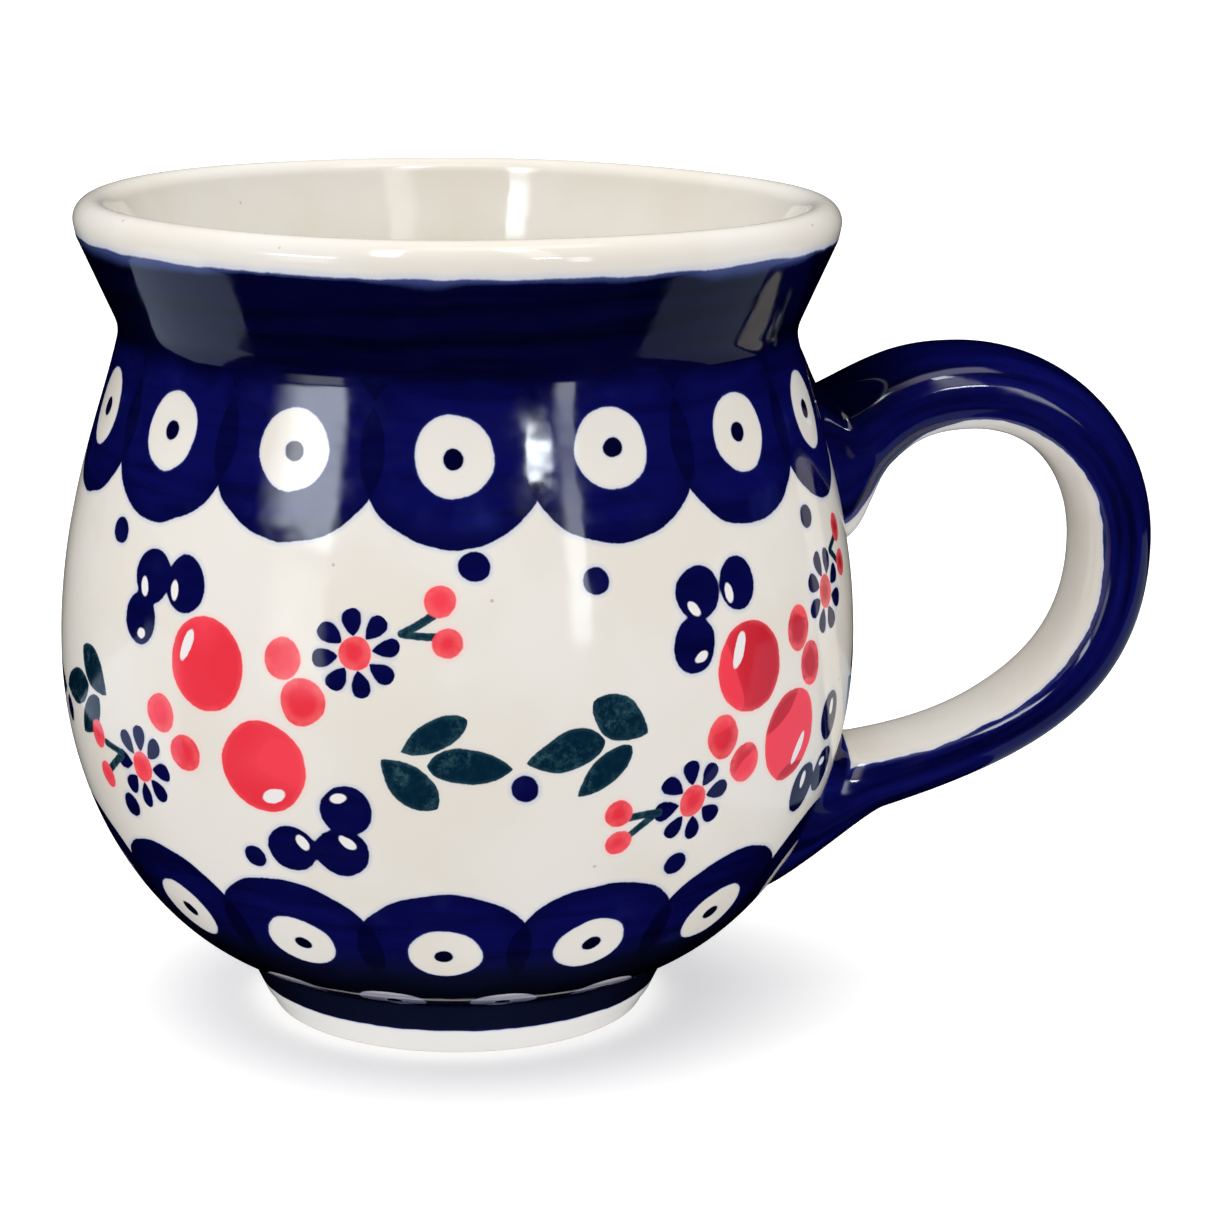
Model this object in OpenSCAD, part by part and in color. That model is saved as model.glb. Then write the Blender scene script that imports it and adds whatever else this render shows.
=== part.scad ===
// Belly mug in painted stoneware: a thrown body on a turned foot, with a pulled handle luted on.
// +Z is up, the origin is the centre of the foot's underside, and the handle points along +X.

/* [Body] */
// Overall height, from the table to the top of the lip
mug_h = 104.8; // [99:0.1:111]
// Largest outer radius of the belly
belly_r = 50.8; // [49:0.1:53]
// Height of the belly's widest point
belly_z = 48; // [45:0.1:51]
// Outer radius at the crease, where the neck meets the shoulder
crease_r = 42.6; // [41:0.1:44]
// Height of the crease
crease_z = 88.9; // [87:0.1:91]
// Outer radius of the lip
lip_r = 48; // [46:0.1:50]
// Half the thickness of the rolled lip
lip_roll = 2.5; // [2.2:0.1:3]
// Thickness of the stoneware wall
wall = 4; // [3.5:0.1:5]
// Height of the inside of the floor
floor_z = 11.3; // [10.3:0.1:13]

/* [Foot] */
// Outer radius at the top of the foot ring
foot_r = 27.7; // [26:0.1:29]
// Outer radius of the foot ring's underside: the ring tapers down to it
foot_low_r = 24.4; // [23:0.1:26]
// Inner radius of the foot ring
foot_bore_r = 21.5; // [18:0.1:23]
// Height at which the belly leaves the foot
foot_z = 8.1; // [7.5:0.1:9]
// Depth of the hollow under the floor
foot_hollow = 5.3; // [4:0.1:6]

/* [Glaze] */
// Thickness of the fired glaze coats
glaze = 0.5; // [0.4:0.1:0.8]
// Height at which the outer glaze stops on the foot
glaze_foot_z = 3.9; // [3:0.1:5]

/* [Handle] */
// Width of the strap at its upper end
strap_w_top = 20.8; // [18:0.1:23]
// Width of the strap at its lower end
strap_w_low = 17; // [15:0.1:20]
// Thickness of the strap at its upper end
strap_t_top = 12; // [10:0.1:13]
// Thickness of the strap at its lower end
strap_t_low = 7.6; // [6.5:0.1:9]
// Radius at which the handle's top reaches farthest from the mug's axis
reach_x = 86; // [82:0.5:90]
// Height of the top of the handle's centre line
crown_z = 80; // [78:0.1:82]

/* [Slip joints] */
// Height of the upper joint's footprint on the body
upper_joint_h = 19; // [16:0.5:22]
// Height of the lower joint's footprint on the body
lower_joint_h = 17; // [14:0.5:20]
// How much wider than the strap a joint's footprint is
joint_spread = 2.4; // [1:0.1:4]

/* [Hidden] */

steps = 12;               // points on each stretch of a curve
ring_points = 16;         // points round a section of the strap
squareness = 2.3;         // exponent of the strap's superellipse section
round_fn = 128;           // facets of a preview circle
lip_x = lip_r - lip_roll; // radius of the lip's centre circle
lip_z = mug_h - lip_roll; // height of the lip's centre circle

// A point of the cubic curve through p[0] and p[3], pulled towards p[1] and p[2]
function bezier(p, t) =
    p[0] * pow(1 - t, 3) + p[1] * 3 * t * pow(1 - t, 2) + p[2] * 3 * t * t * (1 - t) + p[3] * pow(t, 3);

// The points of such a curve, from the end of its start to its end
function curve(p, n, first = 0) = [for (i = [first:n]) bezier(p, i / n)];

function arc(centre, r, from, to, n) =
    [for (i = [0:n]) centre + r * [cos(from + (to - from) * i / n), sin(from + (to - from) * i / n)]];

// ---- the outline of the outside, as [radius, height], for a skin that lies d inside the glaze
function belly_low(d) = [
    [foot_r + 1.1 - d, foot_z + d * 0.9],
    [belly_r - 11.3, foot_z + 4 + d],
    [belly_r - d, belly_z - 20.9],
    [belly_r - d, belly_z]
];
function belly_high(d) = [
    [belly_r - d, belly_z],
    [belly_r - d, belly_z + 18.8],
    [crease_r + 1.7 - d, crease_z - 9.1],
    [crease_r - d, crease_z]
];
// The neck flares straight out from the crease and ends in the rolled lip
function neck_top(d) = [lip_r - 0.35 - d, lip_z - 2];
function outside(d) = concat(
    curve(belly_low(d), 16),
    curve(belly_high(d), 14, 1),
    [neck_top(d)],
    arc([lip_x, lip_z], lip_roll - d, -10, 90, 8)
);

// ---- the outline of the inside, from the middle of the lip down to the floor
function cavity_neck(d) = [
    [lip_x - (lip_roll - d) * cos(19), lip_z + (lip_roll - d) * sin(19)],
    [lip_x - lip_roll + d - 1.8, lip_z - 5.2],
    [crease_r - wall + d, crease_z + 5],
    [crease_r - wall + d, crease_z - 1]
];
function cavity_high(d) = [
    [crease_r - wall + d, crease_z - 1],
    [crease_r - wall + d, crease_z - 9],
    [belly_r - wall + d, belly_z + 20],
    [belly_r - wall + d, belly_z]
];
function cavity_low(d) = [
    [belly_r - wall + d, belly_z],
    [belly_r - wall + d, belly_z - 19],
    [belly_r - 17, floor_z - d + 0.4],
    [foot_r - 6.8, floor_z - d]
];
function inside(d) = concat(
    arc([lip_x, lip_z], lip_roll - d, 90, 161, 6),
    curve(cavity_neck(d), 8, 1),
    curve(cavity_high(d), steps, 1),
    curve(cavity_low(d), 14, 1),
    [[0, floor_z - d]]
);

function reverse(list) = [for (i = [len(list) - 1:-1:0]) list[i]];

// Everything inside the outer outline, solid to the axis
module envelope(d) {
    rotate_extrude($fn = round_fn)
        polygon(concat([[0, foot_z]], outside(d), [[0, mug_h - d]]));
}

module body() {
    color([0.80, 0.76, 0.70])
        rotate_extrude($fn = round_fn)
            polygon(concat(
                [[0, foot_hollow], [foot_bore_r, foot_hollow], [foot_bore_r, foot_z + glaze * 0.9]],
                outside(glaze),
                inside(glaze)
            ));
}

// Outer radius of the foot ring at a height, from its underside up to where the belly begins to spread
function foot_wall(z) = foot_low_r + (foot_r - foot_low_r) * z / (foot_z - 1.2);

// The turned ring that the mug stands on: it narrows downward, and its bottom edges are eased
module foot_ring() {
    ease = 0.8;
    bore_low_r = foot_bore_r - 1.5;
    color([0.90, 0.88, 0.86])
        rotate_extrude($fn = round_fn)
            polygon([
                [foot_bore_r, foot_z + glaze * 0.9],
                [foot_bore_r, foot_hollow],
                [bore_low_r, ease],
                [bore_low_r + ease, 0],
                [foot_low_r - ease, 0],
                [foot_wall(ease), ease],
                [foot_wall(glaze_foot_z), glaze_foot_z],
                [foot_wall(glaze_foot_z) - glaze, glaze_foot_z],
                [foot_r - glaze, foot_z - 1.2],
                [foot_r + 1.1 - glaze, foot_z + glaze * 0.9]
            ]);
}

// The clear coat that lines the cup, down from the middle of the lip
module liner_glaze() {
    color([0.93, 0.92, 0.87])
        rotate_extrude($fn = round_fn)
            polygon(concat(inside(0), reverse(inside(glaze))));
}

// The footprint of a joint, as a prism with rounded corners along +X through the wall
module joint_window(z, h, w) {
    corner = 6;
    translate([belly_r / 2, 0, z])
        rotate([90, 0, 90])
            linear_extrude(belly_r)
                union() {
                    square([w - 2 * corner, h], center = true);
                    square([w, h - 2 * corner], center = true);
                    for (y = [-1, 1], up = [-1, 1])
                        translate([y * (w / 2 - corner), up * (h / 2 - corner)])
                            circle(r = corner, $fn = 48);
                }
}

// The coat on the outside, painted below it, from the lip to the foot; it stops around the joints
module outer_glaze() {
    clear = 1;
    color([0.08, 0.12, 0.42])
        difference() {
            rotate_extrude($fn = round_fn)
                polygon(concat(
                    [
                        [foot_r - glaze, foot_z - 1.2],
                        [foot_wall(glaze_foot_z) - glaze, glaze_foot_z],
                        [foot_wall(glaze_foot_z), glaze_foot_z],
                        [foot_r, foot_z - 1.2]
                    ],
                    outside(0),
                    reverse(outside(glaze))
                ));
            joint_window(upper_seat[1], upper_joint_h + 2 * clear, strap_w_top + joint_spread + 2 * clear);
            joint_window(lower_seat[1], lower_joint_h + 2 * clear, strap_w_low + joint_spread + 2 * clear);
        }
}

// ---- the handle's centre line, in the plane y = 0, as [x, z]
upper_seat = [46.5, 71.6];     // middle of the upper footprint
lower_seat = [45.5, 25.2];     // middle of the lower footprint
upper_end = [51.5, 74.7];      // where the strap meets the upper joint
lower_end = [54.6, 27.9];      // where the strap meets the lower joint
crown = [65.6, crown_z];
outermost = [reach_x, 58.7];
upper_pull = [3, 2.8];         // how the strap leaves the upper joint
lower_pull = [18.6, 6.1];      // how it leaves the lower joint

strap_curves = [
    [upper_end, upper_end + upper_pull, crown - [7.5, 0], crown],
    [crown, crown + [12, 0], outermost + [0, 12], outermost],
    [outermost, outermost - [0, 18], lower_end + lower_pull, lower_end]
];
strap_line = concat(
    curve(strap_curves[0], 8),
    curve(strap_curves[1], steps, 1),
    curve(strap_curves[2], 16, 1)
);

function unit(v) = v / norm(v);
function heading(line, i) = unit(line[min(i + 1, len(line) - 1)] - line[max(i - 1, 0)]);

// One section of a strap: a superellipse w wide in Y and t thick across the line
function section(centre, dir, w, t) = [
    for (k = [0:ring_points - 1])
        let (
            a = 360 * k / ring_points,
            across = sign(cos(a)) * pow(abs(cos(a)), 2 / squareness) * t / 2,
            along_y = sign(sin(a)) * pow(abs(sin(a)), 2 / squareness) * w / 2
        )
        [centre[0] - dir[1] * across, along_y, centre[1] + dir[0] * across]
];

// A closed solid through a row of sections
module loft(sections) {
    n = len(sections[0]);
    last = len(sections) - 1;
    sides = [
        for (i = [0:last - 1], k = [0:n - 1])
            let (a = i * n + k, b = i * n + (k + 1) % n)
            each [[a, b, a + n], [b, b + n, a + n]]
    ];
    caps = [[for (k = [n - 1:-1:0]) k], [for (k = [0:n - 1]) last * n + k]];
    polyhedron(points = [for (s = sections) each s], faces = concat(sides, caps), convexity = 4);
}

module handle() {
    last = len(strap_line) - 1;
    color([0.05, 0.08, 0.35])
        loft([
            for (i = [0:last])
                section(
                    strap_line[i],
                    heading(strap_line, i),
                    strap_w_top + (strap_w_low - strap_w_top) * i / last,
                    strap_t_top + (strap_t_low - strap_t_top) * i / last
                )
        ]);
}

// The luted joint: it spreads from the strap's end to its footprint, and is cut to the body
module slip_joint(from, dir, to, w, t, h) {
    rings = 6;
    difference() {
        loft([
            for (i = [0:rings])
                let (u = i / rings, spread = u * u)
                section(
                    from + (to - from) * u * 1.35,
                    unit(dir * (1 - u) + unit(to - from) * u),
                    w + joint_spread * spread,
                    t + (h - t) * spread
                )
        ]);
        envelope(glaze);
    }
}

module upper_slip_joint() {
    color([0.06, 0.10, 0.38])
        slip_joint(upper_end, -heading(strap_line, 0), upper_seat, strap_w_top, strap_t_top, upper_joint_h);
}

module lower_slip_joint() {
    last = len(strap_line) - 1;
    color([0.06, 0.10, 0.38])
        slip_joint(lower_end, heading(strap_line, last), lower_seat, strap_w_low, strap_t_low, lower_joint_h);
}

body();
foot_ring();
liner_glaze();
outer_glaze();
handle();
upper_slip_joint();
lower_slip_joint();
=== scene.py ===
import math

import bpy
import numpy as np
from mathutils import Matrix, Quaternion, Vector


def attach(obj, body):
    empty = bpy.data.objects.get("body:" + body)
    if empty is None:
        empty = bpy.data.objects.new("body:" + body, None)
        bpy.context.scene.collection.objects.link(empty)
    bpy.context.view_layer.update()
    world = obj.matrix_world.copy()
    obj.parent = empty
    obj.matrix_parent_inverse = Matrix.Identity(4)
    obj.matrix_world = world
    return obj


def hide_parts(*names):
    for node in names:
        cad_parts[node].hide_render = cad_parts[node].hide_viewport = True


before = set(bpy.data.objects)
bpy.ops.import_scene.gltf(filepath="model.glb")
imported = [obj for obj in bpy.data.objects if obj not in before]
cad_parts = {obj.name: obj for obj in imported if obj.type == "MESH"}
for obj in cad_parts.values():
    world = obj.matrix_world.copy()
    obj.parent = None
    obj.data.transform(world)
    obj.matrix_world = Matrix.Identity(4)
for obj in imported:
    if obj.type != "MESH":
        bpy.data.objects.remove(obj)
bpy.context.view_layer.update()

# The looks of a painted stoneware belly mug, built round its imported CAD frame.
#
# Every length below is in millimetres until a mesh is made. A place on the painted outside is
# (angle, up): the angle in degrees round from the side that faces -Y towards the handle at +X,
# and the distance up the outside from the foot, measured along the surface.

MM = 0.001

# ---------------------------------------------------------------- shape, the same as in the CAD

LIP_CENTRE = (45.5, 102.3)
LIP_ROLL = 2.5
FOOT_R = 27.7
FOOT_LOW_R = 24.4
FOOT_TOP_Z = 6.9
FOOT_EASE = 0.8
FOOT_BORE_R = 21.5
FOOT_HOLLOW = 5.3
FOOT_GLAZE_Z = 3.9
MUG_H = 104.8
GLAZE = 0.5
BELLY_R = 50.8
BELLY_LOW = [(28.8, 8.1), (39.5, 12.1), (50.8, 27.1), (50.8, 48.0)]
BELLY_HIGH = [(50.8, 48.0), (50.8, 66.8), (44.3, 79.8), (42.6, 88.9)]
NECK_TOP = (47.65, 100.3)
CUP_NECK = [(43.14, 103.11), (41.2, 97.1), (38.6, 93.9), (38.6, 87.9)]
CUP_HIGH = [(38.6, 87.9), (38.6, 79.9), (46.8, 68.0), (46.8, 48.0)]
CUP_LOW = [(46.8, 48.0), (46.8, 29.0), (33.8, 11.7), (20.9, 11.3)]

STRAP_CURVES = [
    [(51.5, 74.7), (54.5, 77.5), (58.1, 80.0), (65.6, 80.0)],
    [(65.6, 80.0), (77.6, 80.0), (86.0, 70.7), (86.0, 58.7)],
    [(86.0, 58.7), (86.0, 40.7), (73.2, 34.0), (54.6, 27.9)],
]
STRAP_SHARES = [8 / 36, 12 / 36, 16 / 36]  # how much of the taper falls on each curve
STRAP_W = (20.8, 17.0)
STRAP_T = (12.0, 7.6)
SQUARENESS = 2.3

COLUMNS = 288  # facets round everything that was thrown
SHARP_ANGLE = math.radians(48)
CELLS = 12  # the painted outside is split into as many materials round the mug


def bezier(points, count, first=0):
    p = np.array(points, float)
    t = (np.arange(first, count + 1) / count)[:, None]
    return p[0] * (1 - t) ** 3 + 3 * p[1] * t * (1 - t) ** 2 + 3 * p[2] * t * t * (1 - t) + p[3] * t**3


def lip_arc(start, end, count, radius):
    a = np.radians(np.linspace(start, end, count + 1))[:, None]
    return np.array(LIP_CENTRE) + radius * np.hstack([np.cos(a), np.sin(a)])


def foot_wall(z):
    """Outer radius of the foot, from its underside up to where the belly begins to spread."""
    return FOOT_LOW_R + (FOOT_R - FOOT_LOW_R) * z / FOOT_TOP_Z


def outside(depth, fine):
    """The outline of a skin that lies depth inside the glaze, up from the foot to the middle of the lip."""
    low = np.array(BELLY_LOW) + np.array([(-1, 0.9), (0, 1), (-1, 0), (-1, 0)]) * depth
    high = np.array(BELLY_HIGH) + np.array([(-1, 0)] * 4) * depth
    belly = np.vstack([bezier(low, 6 * fine), bezier(high, 5 * fine, 1)])
    crease, neck_top = belly[-1], np.array(NECK_TOP) - (depth, 0)
    before = belly[belly[:, 1] < crease[1] - CREASE_EASE]
    after = crease + (neck_top - crease) * 1.3 * CREASE_EASE / np.linalg.norm(neck_top - crease)
    start = before[-1]
    eased = bezier([start, start + (crease - start) * 0.7, crease + (after - crease) * 0.3, after], fine, 1)
    neck = after + (neck_top - after) * np.linspace(0, 1, 2 * fine + 1)[1:, None]
    return np.vstack([before, eased, neck, lip_arc(-10, 90, 2 * fine, LIP_ROLL - depth)])


def inside(depth, fine):
    """The outline of the cup, down from the middle of the lip to the axis."""
    neck = np.array(CUP_NECK) + np.array([(0.95, -0.33), (1, 0), (1, 0), (1, 0)]) * depth
    high = np.array(CUP_HIGH) + np.array([(1, 0)] * 4) * depth
    low = np.array(CUP_LOW) + np.array([(1, 0), (1, 0), (0, -1), (0, -1)]) * depth
    floor = low[-1] * np.linspace(1, 0, fine + 1)[1:, None] + np.array([0, 1]) * (
        low[-1][1] * np.linspace(0, 1, fine + 1)[1:, None]
    )
    return np.vstack([
        lip_arc(90, 161, 2 * fine, LIP_ROLL - depth),
        bezier(neck, 2 * fine, 1),
        bezier(high, 3 * fine, 1),
        bezier(low, 4 * fine, 1),
        floor,
    ])


CREASE_EASE = 1.3  # how far from the crease its hollow begins
OUTER = outside(0, 14)
UP_START = -0.5  # the distance up is counted from just above the belly's first point
LENGTHS = np.concatenate([[0], np.cumsum(np.hypot(*np.diff(OUTER, axis=0).T))]) + UP_START


def radius_at(up):
    return float(np.interp(up, LENGTHS, OUTER[:, 0]))


def radius_at_height(z):
    return np.interp(z, OUTER[:, 1], OUTER[:, 0])


def hand_thrown(points):
    """Points of the mug, moved by the tenths of a millimetre that a hand on the wheel leaves."""
    x, y, z = points.T
    angle = np.arctan2(x, -y)
    radius = np.hypot(x, y)
    away = np.clip(radius / 20, 0, 1) * np.clip((z - 2) / 15, 0, 1)
    swell = 0.10 * np.sin(2 * angle + 1.1) + 0.05 * np.sin(3 * angle + z / 17) + 0.004 * np.sin(z / 1.3 + angle)
    lift = (np.clip(z / MUG_H, 0, 1) ** 6) * (0.10 * np.sin(2 * angle + 0.5) + 0.06 * np.sin(5 * angle))
    scale = 1 + away * swell / np.maximum(radius, 1)
    return np.stack([x * scale, y * scale, z + lift], 1)


# ---------------------------------------------------------------- mesh tools


def new_piece(name, points, faces, uv_layers, node):
    """A smooth mesh piece from points in millimetres, that stands for a CAD node.
    uv_layers is {name: [(u, v) for each corner]}."""
    mesh = bpy.data.meshes.new(name)
    mesh.from_pydata((np.asarray(points) * MM).tolist(), [], faces)
    for layer, values in uv_layers.items():
        mesh.uv_layers.new(name=layer).data.foreach_set("uv", np.asarray(values, np.float32).ravel())
    mesh.shade_smooth()
    mesh.set_sharp_from_angle(angle=SHARP_ANGLE)
    piece = bpy.data.objects.new(name, mesh)
    bpy.context.scene.collection.objects.link(piece)
    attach(piece, "root")
    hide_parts(node)
    return piece


def turned(outline, loop, flip=False):
    """Points, faces and (angle, row) corners of an outline turned round the axis.
    loop joins its last point to its first; otherwise its ends lie on the axis."""
    outline = np.asarray(outline, float)
    angles = np.radians(-180 + 360 * np.arange(COLUMNS) / COLUMNS)
    points, starts = [], []
    for r, z in outline:
        starts.append(len(points))
        if r < 1e-6:
            points.append((0, 0, z))
        else:
            points.extend(zip(r * np.sin(angles), -r * np.cos(angles), np.full(COLUMNS, z)))
    faces, corners = [], []
    rows = len(outline)
    for row in range(rows if loop else rows - 1):
        low, high = row, (row + 1) % rows
        for c in range(COLUMNS):
            d = (c + 1) % COLUMNS
            ring = [(low, c, c), (low, d, c + 1), (high, d, c + 1), (high, c, c)]
            seen, face, corner = set(), [], []
            for at, column, turn in ring:
                pole = outline[at][0] < 1e-6
                index = starts[at] + (0 if pole else column)
                if index not in seen:
                    seen.add(index)
                    face.append(index)
                    corner.append((turn + (0.5 if pole else 0), row + (at != low)))
            if len(face) > 2:
                faces.append(face[::-1] if flip else face)
                corners.append((corner[::-1] if flip else corner, row, c))
    return np.array(points), faces, corners


def along(outline):
    return np.concatenate([[0], np.cumsum(np.hypot(*np.diff(outline, axis=0).T))])


# ---------------------------------------------------------------- node tools


def linear(*rgb):
    """A linear colour from 0 to 255 screen values."""
    return tuple((c / 255 / 12.92 if c <= 10 else ((c / 255 + 0.055) / 1.055) ** 2.4) for c in rgb) + (1,)


class Graph:
    """Adds nodes to a tree and wires them as they are made."""

    def __init__(self, tree):
        self.tree = tree

    def add(self, kind, inputs=(), out=0, **settings):
        node = self.tree.nodes.new(kind)
        for key, value in settings.items():
            setattr(node, key, value)
        for key, value in dict(inputs).items():
            socket = node.inputs[key]
            if isinstance(value, bpy.types.NodeSocket):
                self.tree.links.new(value, socket)
            else:
                socket.default_value = value
        return node.outputs[out]

    def math(self, operation, *values):
        return self.add("ShaderNodeMath", dict(enumerate(values)), operation=operation)

    def vector(self, operation, *values, out=0):
        return self.add("ShaderNodeVectorMath", dict(enumerate(values)), out=out, operation=operation)

    def length(self, vector):
        return self.vector("LENGTH", vector, out="Value")

    def split(self, vector):
        node = self.tree.nodes.new("ShaderNodeSeparateXYZ")
        self.tree.links.new(vector, node.inputs[0])
        return node.outputs[0], node.outputs[1], node.outputs[2]

    def join(self, x=0.0, y=0.0, z=0.0):
        return self.add("ShaderNodeCombineXYZ", {0: x, 1: y, 2: z})

    def step(self, value, low, high, bottom=0.0, top=1.0):
        """Rises smoothly from bottom at low to top at high."""
        return self.add(
            "ShaderNodeMapRange", {0: value, 1: low, 2: high, 3: bottom, 4: top}, interpolation_type="SMOOTHSTEP"
        )

    def inside(self, distance, soft=0.09):
        return self.step(distance, soft, -soft)

    def mix(self, factor, under, over):
        # the Mix node has one set of sockets per data type, all with the same names
        node = self.tree.nodes.new("ShaderNodeMix")
        node.data_type = "RGBA"
        for index, value in ((0, factor), (6, under), (7, over)):
            if isinstance(value, bpy.types.NodeSocket):
                self.tree.links.new(value, node.inputs[index])
            else:
                node.inputs[index].default_value = value
        return node.outputs[2]

    def noise(self, vector, scale, detail=2.0, roughness=0.5, out=0):
        return self.add(
            "ShaderNodeTexNoise",
            {"Vector": vector, "Scale": scale, "Detail": detail, "Roughness": roughness},
            out=out,
        )

    def local(self, vector, x, y, size_x=1.0, size_y=1.0, turn=0.0):
        """The place of vector in a stroke's own frame: centred, turned and sized to it."""
        return self.add(
            "ShaderNodeMapping",
            {
                "Vector": vector,
                "Location": (x, y, 0),
                "Rotation": (0, 0, math.radians(turn)),
                "Scale": (size_x, size_y, 1),
            },
            vector_type="TEXTURE",
        )

    def union(self, distances, blend=None):
        found = distances[0]
        for d in distances[1:]:
            found = self.math("SMOOTH_MIN", found, d, blend) if blend else self.math("MINIMUM", found, d)
        return found


def new_material(name):
    """A material, its graph, its shader and the place on the object in millimetres."""
    material = bpy.data.materials.new(name)
    material.use_nodes = True
    g = Graph(material.node_tree)
    shader = material.node_tree.nodes["Principled BSDF"]
    place = g.vector("MULTIPLY", g.add("ShaderNodeTexCoord", out="Object"), (1 / MM, 1 / MM, 1 / MM))
    return material, g, shader, place


GLAZE_ROUGH = (0.05, 0.12)  # the least and the most
GLAZE_RIPPLE = 0.012


def finish_glaze(g, shader, place, colour):
    """A clear fired coat over colour: nearly a mirror, with the faint unevenness of melted glass."""
    tree = g.tree
    tree.links.new(colour, shader.inputs["Base Color"])
    shader.inputs["IOR"].default_value = 1.52
    uneven = g.noise(place, 0.35, 3.0)
    tree.links.new(g.step(uneven, 0.3, 0.8, *GLAZE_ROUGH), shader.inputs["Roughness"])
    swell = g.math("MULTIPLY_ADD", g.noise(place, 0.12, 1.0), 2.5, g.noise(place, 0.5, 0.0))
    bump = g.add("ShaderNodeBump", {"Strength": 1.0, "Distance": GLAZE_RIPPLE * MM, "Height": swell}, out="Normal")
    tree.links.new(bump, shader.inputs["Normal"])


CREAM = linear(232, 227, 219)
CREAM_WARM = linear(226, 219, 206)
CREAM_COOL = linear(235, 232, 226)
SPECK = linear(120, 100, 85)
NAVY = linear(10, 12, 84)
NAVY_DEEP = linear(3, 4, 46)
# painted reflection: the greyer cobalt low on the belly, where the pale table is seen in the glaze
NAVY_TABLE_REFLECTION = linear(19, 25, 46)
NAVY_BLACK = linear(1, 2, 26)
NAVY_THIN = linear(34, 44, 122)
BLEED = linear(176, 190, 226)
FRINGE = linear(78, 94, 158)
RED = linear(245, 66, 83)
RED_DEEP = linear(238, 54, 70)
RED_DARK = linear(190, 32, 48)
CORAL = linear(246, 106, 110)
BLUSH = linear(246, 206, 202)
TEAL = linear(4, 36, 56)
TEAL_THIN = linear(48, 84, 94)
DAB = linear(238, 234, 234)


def cream_ground(g, place):
    """Cream clay under clear glaze, slightly uneven, with a few fine iron specks."""
    colour = g.mix(g.step(g.noise(place, 0.05, 3.0), 0.35, 0.65), CREAM_WARM, CREAM_COOL)
    colour = g.mix(0.5, colour, CREAM)
    cells = g.add("ShaderNodeTexVoronoi", {"Vector": place, "Scale": 0.17}, out="Distance")
    node = cells.node
    chosen = g.step(g.split(node.outputs["Color"])[0], 0.45, 0.5)
    speck = g.math("MULTIPLY", g.step(cells, 0.05, 0.02), chosen)
    return g.mix(g.math("MULTIPLY", speck, 0.45), colour, SPECK)


def cobalt(g, place):
    """Brushed cobalt: streaks round the mug, and blots where the brush was full."""
    streaks = g.noise(g.vector("MULTIPLY", place, (0.05, 0.05, 0.55)), 1.0, 3.0, 0.6)
    blots = g.noise(place, 0.13, 2.0)
    colour = g.mix(g.step(streaks, 0.25, 0.60, 0.45, 1.0), NAVY_DEEP, NAVY)
    return g.mix(g.step(blots, 0.58, 0.86, 0.0, 0.45), colour, NAVY_THIN)


# ---------------------------------------------------------------- the painted design

EYES = 15  # eyes in each row round the mug
EYE_STEP = 360 / EYES
TOP_EYE = {"angle": -6.7, "up": 80.6, "disc": 10.9, "ring": (4.5, 4.85), "pupil": 1.2}
LOW_EYE = {"angle": -8.1, "up": 17.25, "rise": 2.3, "disc": 10.4, "ring": (4.4, 4.5), "pupil": 1.15}
FOOT_EYE = {"angle": 3.9, "up": 3.0, "ring": (4.2, 3.8), "pupil": 1.0}
NECK_UP = 89.9  # where the neck begins, just past the crease
LIP_LINE = 102.3  # where the cobalt of the neck stops below the lip
GARLAND_UP = 48.5
LEAVES_UP = 41.7

# A spray of berries, as strokes about its middle: across, up, and what the stroke needs
SPRAY_A = {
    "angle": -37,
    "berry": [(-13.7, 14.8, 3.15, 3.3), (-7.9, 14.6, 3.15, 3.4), (-15.5, 9.4, 2.95, 3.2),
              (14.0, -9.8, 3.15, 3.1), (6.6, -15.7, 3.15, 3.1), (12.7, -15.5, 3.35, 3.2)],
    "big": [(-4.0, 5.8, 5.45, 5.6, 8), (3.8, -5.5, 5.6, 5.65, 20)],
    "small": [(6.5, 7.8, 2.3, 2.55), (9.2, 2.9, 2.75, 2.9), (-11.4, -1.3, 2.4, 2.4), (-7.3, -5.5, 2.4, 2.4),
              (24.7, 15.2, 1.8, 1.8), (25.8, 10.5, 1.75, 1.75), (-25.9, -7.0, 1.7, 1.75),
              (-24.6, -12.1, 1.7, 1.75)],
    "blossom": [(15.35, 9.1, 10), (-15.7, -9.0, 0)],
    "stem": [(20.5, 11.6, 24.0, 13.7), (20.5, 11.6, 24.4, 11.2),
             (-19.9, -8.5, -23.8, -7.6), (-20.2, -8.9, -23.4, -10.9)],
    "dab": [(-15.0, 13.3, 0.65, 1.1, 15), (-9.6, 13.7, 0.6, 1.2, 5), (-15.2, 7.6, 0.8, 0.6, 10),
            (13.2, -8.3, 1.0, 0.6, 5), (8.1, -14.8, 0.65, 1.1, 25), (13.6, -14.0, 0.6, 1.15, 50),
            (-7.0, 7.6, 0.75, 2.1, -25), (5.2, -8.9, 1.6, 0.8, 22)],
    "dot": [(-21.2, 18.9, 1.6), (1.3, -17.5, 1.45), (-19.7, -15.0, 1.6), (27.9, 19.3, 1.75)],
}
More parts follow.
